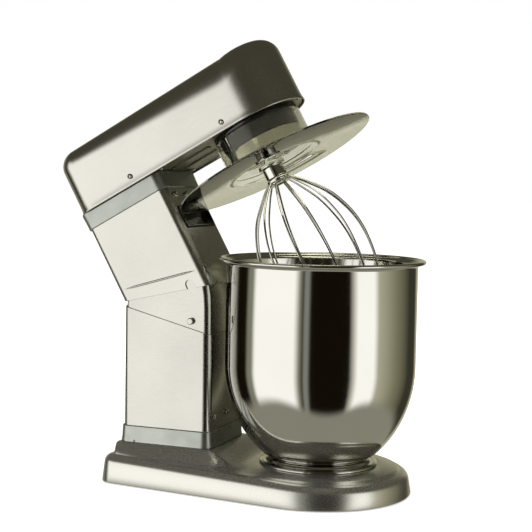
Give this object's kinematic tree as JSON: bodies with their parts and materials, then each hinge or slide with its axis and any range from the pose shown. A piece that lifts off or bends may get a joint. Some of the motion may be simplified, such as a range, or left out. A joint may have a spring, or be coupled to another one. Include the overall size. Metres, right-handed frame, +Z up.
{
  "type": "stand mixer",
  "caption": "Tilt-head planetary stand mixer in brushed steel, standing open, with a wire whisk, round bowl and clear splash guard.",
  "frame": {"origin": "on the standing surface, under the middle of the whole object's box", "axes": "+X towards the bowl and the head's nose, +Y towards the side with the controls, +Z up"},
  "size_m": [0.4416, 0.245, 0.5254],
  "materials": {
    "brushed_shell": "fine brushed, slightly warm",
    "plain_steel": "plain cold-rolled sheet",
    "polished_steel": "polished, with faint spinning lines",
    "drum_steel": "turned and polished",
    "gear_steel": "machined, greased",
    "fastener_steel": "bright zinc or ground steel",
    "chrome_plate": "polished",
    "grey_casting": "satin grey paint on a casting",
    "painted_pan": "satin beige-grey paint",
    "motor_casing": "dark grey paint",
    "pulley_aluminium": "machined",
    "bush_brass": "plain",
    "black_plastic": "glossy black",
    "green_button": "glossy",
    "red_button": "glossy",
    "circuit_board": "matte",
    "black_rubber": "matte",
    "clear_guard": "clear, slightly smoky plastic"
  },
  "bodies": {
    "base": {"base_cover": "brushed_shell", "base_plate": "plain_steel", "foot_1": "black_rubber", "foot_2": "black_rubber", "foot_3": "black_rubber", "foot_4": "black_rubber", "bowl_seat_ring": "polished_steel", "cable_gland": "black_plastic", "lower_collar": "grey_casting", "lower_column": "brushed_shell", "column_sleeve": "plain_steel", "stop_stud_near": "fastener_steel", "stop_stud_far": "fastener_steel", "hinge_pin": "fastener_steel", "control_panel": "black_plastic", "control_board": "circuit_board", "lower_screw_1": "fastener_steel", "lower_screw_2": "fastener_steel", "lower_screw_3": "fastener_steel"},
    "head": {"upper_column": "brushed_shell", "hinge_leaf": "plain_steel", "upper_collar": "grey_casting", "head_pan": "painted_pan", "head_cover": "brushed_shell", "hub_housing": "black_plastic", "guard_pocket": "black_plastic", "spindle_bearing_lower": "fastener_steel", "spindle_bearing_upper": "fastener_steel", "motor": "motor_casing", "motor_plate": "plain_steel", "drive_belt": "black_rubber", "ring_gear": "gear_steel", "cover_screw_1": "fastener_steel", "cover_screw_2": "fastener_steel", "cover_screw_3": "fastener_steel", "cover_screw_4": "fastener_steel", "upper_screw_1": "fastener_steel", "upper_screw_2": "fastener_steel", "upper_screw_3": "fastener_steel"},
    "splash_guard": {"splash_guard": "clear_guard"},
    "lock_knob": {"lock_knob": "black_plastic"},
    "motor_rotor": {"motor_shaft": "fastener_steel", "motor_pulley": "pulley_aluminium"},
    "carrier": {"planetary_carrier": "drum_steel", "driven_pulley": "pulley_aluminium", "agitator_bush": "bush_brass"},
    "agitator": {"agitator_shaft": "chrome_plate", "agitator_pin": "fastener_steel", "planet_gear": "gear_steel"},
    "whisk": {"whisk_hub": "chrome_plate", "whisk_cage": "chrome_plate"},
    "bowl": {"bowl": "polished_steel", "bowl_foot": "polished_steel"},
    "speed_knob": {"speed_knob": "black_plastic"},
    "start_button": {"start_button": "green_button"},
    "stop_button": {"stop_button": "red_button"}
  },
  "joints": [
    {"name": "head_tilt", "type": "hinge", "parent": "base", "child": "head", "pos_m": [-0.12774, 0, 0.2127], "axis": [0, 1, 0], "range_deg": [0, 29]},
    {"name": "guard_removal", "type": "slide", "parent": "head", "child": "splash_guard", "axis": [-0.4848, 0, 0.8746], "range_m": [-0.012, 0]},
    {"name": "lock_knob_turn", "type": "hinge", "parent": "head", "child": "lock_knob", "pos_m": [-0.07332, 0.06, 0.23829], "axis": [0, 1, 0], "range_deg": [0, 90]},
    {"name": "carrier_spin", "type": "hinge", "parent": "head", "child": "carrier", "pos_m": [0.02935, 0, 0.39959], "axis": [-0.4848, 0, 0.8746], "continuous": true},
    {"name": "agitator_spin", "type": "hinge", "parent": "carrier", "child": "agitator", "pos_m": [0.04766, -0.02817, 0.37544], "axis": [-0.4848, 0, 0.8746], "continuous": true},
    {"name": "motor_spin", "type": "hinge", "parent": "head", "child": "motor_rotor", "pos_m": [-0.12371, 0, 0.31475], "axis": [-0.4848, 0, 0.8746], "continuous": true},
    {"name": "whisk_removal", "type": "slide", "parent": "agitator", "child": "whisk", "axis": [-0.4848, 0, 0.8746], "range_m": [-0.016, 0]},
    {"name": "bowl_lift", "type": "slide", "parent": "base", "child": "bowl", "axis": [0, 0, -1], "range_m": [-0.02, 0]},
    {"name": "speed_knob_turn", "type": "hinge", "parent": "base", "child": "speed_knob", "pos_m": [-0.07474, 0.06, 0.127], "axis": [0, -1, 0], "range_deg": [0, 270]},
    {"name": "start_button_press", "type": "slide", "parent": "base", "child": "start_button", "axis": [0, -1, 0], "range_m": [0, 0.003], "stiffness_N_per_m": 1000, "springref_m": -0.001},
    {"name": "stop_button_press", "type": "slide", "parent": "base", "child": "stop_button", "axis": [0, -1, 0], "range_m": [0, 0.003], "stiffness_N_per_m": 1000, "springref_m": -0.001}
  ],
  "couplings": [
    {"joint": "agitator_spin", "follows": "carrier_spin", "ratio": -3.375},
    {"joint": "motor_spin", "follows": "carrier_spin", "ratio": 4.8}
  ]
}
